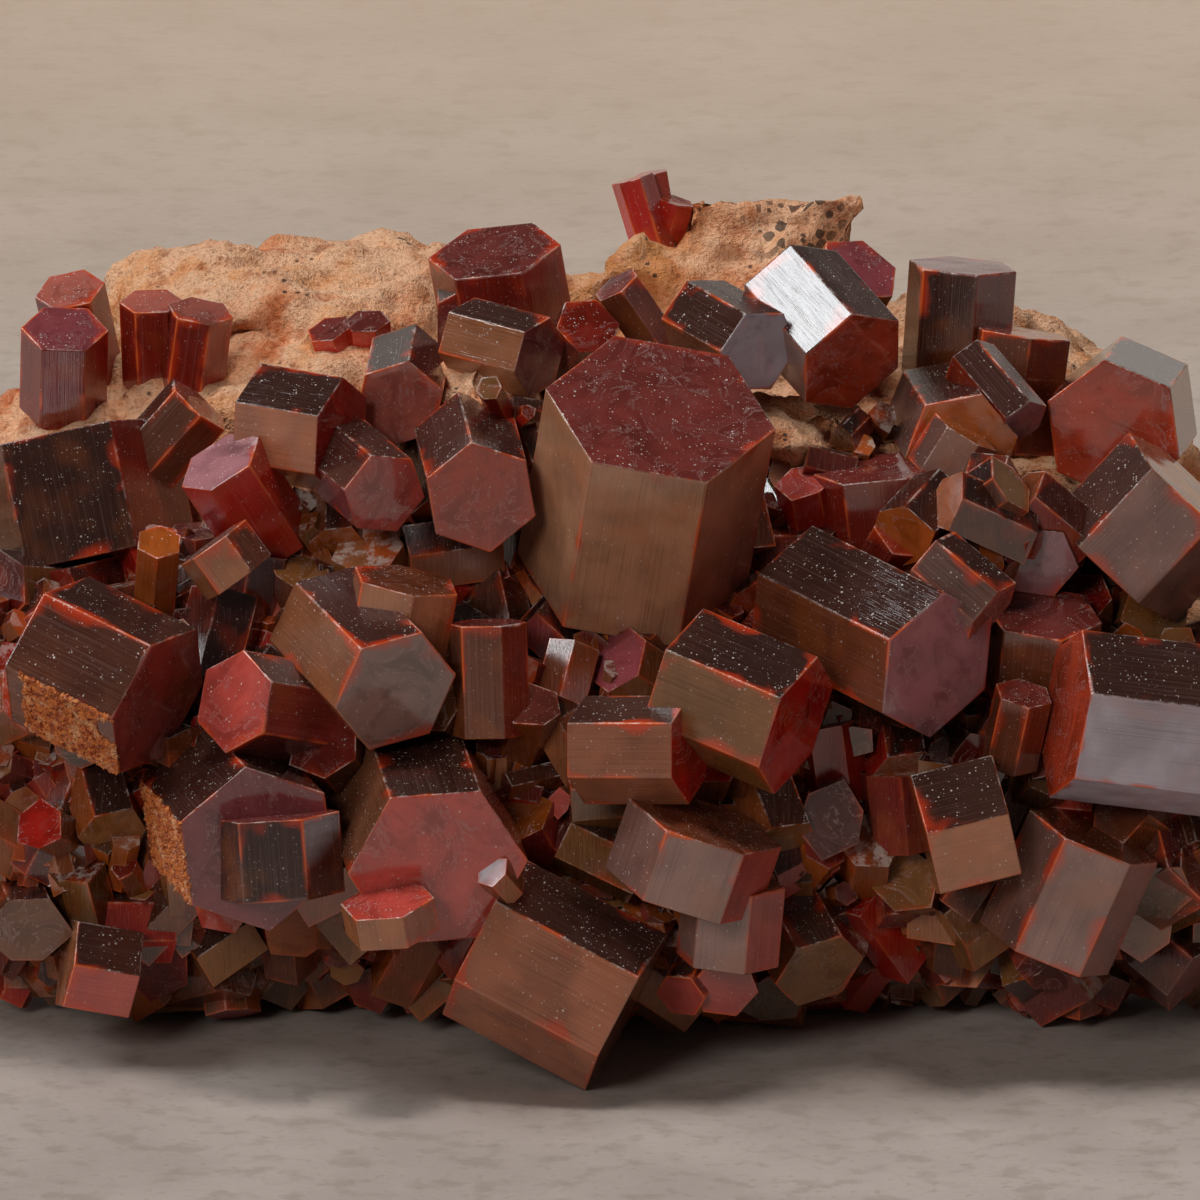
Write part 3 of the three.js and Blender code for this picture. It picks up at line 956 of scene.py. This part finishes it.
def glint_tip():
    """The tip of the small tilted crystal near the right corner of the rose crystal's end."""
    prism = prisms_of("rose_crystal")[0]
    sign = -np.sign(prism["axis"][1])
    level = prism["top"] if sign > 0 else prism["low"]
    out = prism["axis"] * sign
    right = np.array([1.0, 0, 0]) - out * out[0]
    right /= np.linalg.norm(right)
    above = np.cross(out, right)
    above *= np.sign(above[2])
    middle = prism["centre"] + prism["axis"] * level
    return middle + prism["half"] * (0.68 * right - 0.04 * above) + GLINT_RISE * out


def sown(chance):
    """Places for small crystals, with the surface's normal and the size factor at each."""
    sets = []
    for node, count, size in SOWN:
        corners, normals, areas = triangles_of(node)
        middle = corners.mean(1)
        away = middle - ROCK_HEART * (0, 1, 1) - middle * (1, 0, 0)
        outer = (normals * away).sum(1) > 0
        if node == "matrix":
            outer &= (normals[:, 1] < -0.25) & (normals[:, 2] < 0.45)
            outer &= middle[:, 1] < ROCK_HEART[1] + 2
        corners, normals, areas = corners[outer], normals[outer], areas[outer]
        places, pick = scattered(corners, areas, count, chance)
        sets.append((places, normals[pick], np.full(count, size)))
    return [np.concatenate(group) for group in zip(*sets)]


def small_crystals(prisms):
    """
    Small crystals grown over the crust node, with some on the open rock of the front. Each
    one's axis is the surface normal pulled about by chance. Those that would dip below the
    floor are raised, and those that would stand inside a large crystal, too close to a larger
    small one or past the CAD's box are left out.
    """
    chance = np.random.default_rng(SEED)
    places, normals, size = sown(chance)
    count = len(places)
    radius = size * np.where(
        chance.random(count) < 0.3,
        chance.uniform(1.0, 2.0, count), chance.uniform(0.4, 1.0, count),
    )
    order = np.argsort(-radius)
    places, normals, radius = places[order], normals[order], radius[order]
    gap = np.linalg.norm(places[:, None] - places[None], axis=2)
    wanted = CLOSEST * (radius[:, None] + radius[None])
    crowded = (gap < wanted) & (np.arange(count)[:, None] > np.arange(count)[None])

    # The second line brings back those whose too close neighbours have all been left out.
    kept = ~crowded.any(1)
    kept |= ~(crowded & kept[None]).any(1)

    pull = chance.normal(size=(count, 3))
    pull /= np.linalg.norm(pull, axis=1, keepdims=True)
    axes = normals + 2.0 * pull
    axes /= np.linalg.norm(axes, axis=1, keepdims=True)
    rise = radius * chance.uniform(0.5, 1.9, count)
    tips = places + axes * rise[:, None] + normals * (0.3 * radius)[:, None]
    length = rise + 1.2 + 0.5 * radius
    roots = tips - axes * length[:, None]
    stray = radius[:, None] * np.sqrt(1 - axes ** 2) * 1.2
    sunk = BOX_LOW[2] + 0.02 - np.minimum(tips, roots)[:, 2] + stray[:, 2]
    for end in (tips, roots):
        end[:, 2] += np.maximum(0, sunk)
    kept &= ~inside_any(tips, prisms, 0.05)
    for end in (tips, roots):
        kept &= ((end - stray > BOX_LOW) & (end + stray < BOX_HIGH)).all(1)
    # Painted shade: a small crystal with large ones close by along the ways light comes gets a
    # darker tint.
    shade = np.ones(count)
    for way in np.array(OPEN_WAYS):
        for distance in LOOK_OUT:
            step = way / np.linalg.norm(way) * distance
            shade -= PAINTED_SHADE_STEP * inside_any(tips + step, prisms, 0.1)

    points, faces, columns = crowd(
        np.vstack([tips[kept], glint_tip()]), np.vstack([axes[kept], GLINT_FACING]),
        np.append(radius[kept], GLINT_RADIUS), np.append(length[kept], GLINT_LENGTH),
        np.append(shade[kept], 1.0), chance,
    )
    whole = kept.sum() + 1
    last_end = np.r_[QUADS_EACH * whole - 6:QUADS_EACH * whole, (QUADS_EACH + 1) * whole - 1]
    # Painted highlight: the end of the tilted crystal on the rose crystal takes a pale silver tint.
    columns["tint"][last_end] = PAINTED_GLINT_TINT
    return points, faces, columns


SAND_SEED = SEED + 900
GRAIN_REACH = (0.09, 0.24)  # mm from a grain's middle to its points
PATCH = 2.2  # mm across a patch of sand
BARE = 0.3  # share of the patches' noise below which a face is bare


def sand_grains(faces):
    """
    Grains stuck in patches to chosen faces, each face given as node, direction and number of
    grains. A grain has six points, place + or - length * direction along three square axes.
    """
    chance = np.random.default_rng(SAND_SEED)
    sets = []
    for node, direction, count in faces:
        corners, normals, areas = triangles_of(node)
        lead = normals[np.argmax(areas * (normals @ np.array(direction) > 0.75))]
        facing = normals @ lead > 0.99
        places, _ = scattered(corners[facing], areas[facing], count, chance)
        sets.append(places[noise(places, PATCH, SEED) > BARE])
    places = np.concatenate(sets)
    count = len(places)
    turned, _ = np.linalg.qr(chance.normal(size=(count, 3, 3)))
    arms = turned * chance.uniform(*GRAIN_REACH, (count, 3, 1))
    points = np.concatenate([places[:, None] + arms, places[:, None] - arms], 1)
    flip = np.linalg.det(turned)[:, None, None] < 0
    octants = np.array([
        (0, 1, 2), (1, 3, 2), (3, 4, 2), (4, 0, 2), (1, 0, 5), (3, 1, 5), (4, 3, 5), (0, 4, 5),
    ])
    triangles = np.where(flip, octants[None, :, ::-1], octants[None])
    triangles = triangles + (np.arange(count) * 6)[:, None, None]
    return points.reshape(-1, 3), triangles.reshape(-1, 3).tolist(), {}


# ---- the specimen ----

FIN_SPECKS = ROCK_LOW + (ROCK_HIGH - ROCK_LOW) * (0.62, 0.82, 0.965)
FIN_OCHRE = ROCK_LOW + (ROCK_HIGH - ROCK_LOW) * (0.51, 0.82, 0.9)
ROOT_REACH = 2.4  # mm, at the most
ROOT_SLANT = 0.2  # a crystal that points less steeply out of the rock keeps its length

finishes = {
    "vanadinite_red": vanadinite("vanadinite_red"),
    "vanadinite_dark": vanadinite("vanadinite_dark", polish=0.06),
    "vanadinite_tan": vanadinite("vanadinite_tan", polish=0.11),
    "small_crystals": vanadinite(
        "vanadinite_small", laid=False, dust_amount=0.5, polish=0.1, edge_light=0.45,
    ),
    "matrix_rock": matrix_rock("matrix_rock", FIN_SPECKS, FIN_OCHRE),
    "rusty_sand": rusty_sand("rusty_sand"),
}

rock = rock_piece(finishes["matrix_rock"])
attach(rock, "root")
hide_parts("matrix")

# Each crystal's inner end reaches further into the rock, so that no root shows from outside.
all_prisms = []
for order, name in enumerate(sorted(CRYSTAL_NODES)):
    parts = []
    for prism in prisms_of(name):
        all_prisms.append(dict(prism))
        ends = [prism["centre"] + prism["axis"] * prism[end] for end in ("low", "top")]
        heart = ROCK_HEART + np.array([1, 0, 0]) * (ends[0][0] - ROCK_HEART[0])
        near = [np.linalg.norm(end - heart) for end in ends]
        slant = abs(near[1] - near[0]) / (prism["top"] - prism["low"])
        inward = max(0.0, slant - ROOT_SLANT)
        if near[0] < near[1]:
            prism["low"] -= ROOT_REACH * inward
        else:
            prism["top"] += ROOT_REACH * inward
        tones = CRYSTAL_TONES.get(name, PLAIN_TONES)
        if parts:
            tones = INNER_TONES.get(name, tones)
        parts.append(whole_prism(prism, tones, 3 * order + len(parts)))
    points, faces, columns = joined(parts)
    crystal = piece(name + "_grown", points, faces, columns, finishes[SLOT_OF[name]])
    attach(crystal, "root")
    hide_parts(name)

points, faces, columns = small_crystals(all_prisms)
crust = piece("small_crystals", points, faces, columns, finishes["small_crystals"], smooth=False)
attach(crust, "root")
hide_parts("small_crystal_crust")

points, faces, columns = sand_grains([
    ("sandy_crystal", (-0.3, -0.7, -0.6), 1500),
    ("nested_crystal", (-0.9, -0.4, 0.0), 1100),
])
sand = piece("rusty_sand_grains", points, faces, columns, finishes["rusty_sand"], smooth=False)
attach(sand, "root")


# ---- floor, light and camera ----

FLOOR_REACH = 9.0
floor_mesh = bpy.data.meshes.new("floor")
floor_mesh.from_pydata(
    [(x * FLOOR_REACH, y * FLOOR_REACH, 0) for x, y in ((-1, -1), (1, -1), (1, 1), (-1, 1))],
    [], [(0, 1, 2, 3)],
)
floor_mesh.materials.append(floor_stone("floor_stone"))
floor = bpy.data.objects.new("floor", floor_mesh)
bpy.context.scene.collection.objects.link(floor)


def lamp(name, azimuth, elevation, width, strength, colour, mirrored=True):
    """
    A far soft light from a bearing round the specimen and a height, as wide in the sky as
    `width` degrees. One that is not mirrored lights the pieces but doesn't show in their gloss.
    """
    a, e = math.radians(azimuth), math.radians(elevation)
    back = Vector((math.sin(a) * math.cos(e), -math.cos(a) * math.cos(e), math.sin(e)))
    data = bpy.data.lights.new(name, "SUN")
    data.angle = math.radians(width)
    data.energy = strength
    data.color = colour
    made = bpy.data.objects.new(name, data)
    made.location = back
    made.visible_glossy = mirrored
    made.rotation_mode = "QUATERNION"
    made.rotation_quaternion = (-back).to_track_quat("-Z", "Y")
    bpy.context.scene.collection.objects.link(made)


lamp("top_light", 180, 89, 15, 1.27, (1.0, 0.95, 0.9), mirrored=False)
lamp("left_light", -95, 49, 26, 1.3, (0.95, 0.98, 1.0))
lamp("front_fill", -26, 28, 19, 0.97, (1.0, 0.95, 0.9), mirrored=False)

# The room is dark overhead and pale near the horizon, most of all behind the specimen.
world = bpy.data.worlds.new("room")
bpy.context.scene.world = world
room = Nodes(world)
direction = room.node("ShaderNodeTexCoord", output="Generated")
low_down = room.ease(room.part(direction, "Z"), 0.42, 0.1)
behind = room.ease(room.part(direction, "Y"), -0.2, 0.7)
strength = low_down * (behind * 0.4 + 0.1) + 0.03
glow = room.node("ShaderNodeBackground", None, {
    "Color": (1.0, 0.93, 0.85, 1), "Strength": strength,
})
room.node("ShaderNodeOutputWorld", None, {"Surface": glow}, None)
bpy.context.scene.view_settings.view_transform = "Standard"

CAMERA_ELEVATION = 15
CAMERA_DISTANCE = 1.5
AIM_SHARE = (0.5002, 0.5162, 0.527)
aim = cad_low + Vector([s * (h - l) for s, l, h in zip(AIM_SHARE, cad_low, cad_high)])
tilt = math.radians(CAMERA_ELEVATION)
camera_data = bpy.data.cameras.new("camera")
camera_data.sensor_width = 36
camera_data.lens = 900
camera_data.clip_start = 0.05
camera_data.clip_end = 30
camera = bpy.data.objects.new("camera", camera_data)
camera.location = aim + Vector((0, -math.cos(tilt), math.sin(tilt))) * CAMERA_DISTANCE
camera.rotation_euler = (math.pi / 2 - tilt, 0, 0)
bpy.context.scene.collection.objects.link(camera)
bpy.context.scene.camera = camera
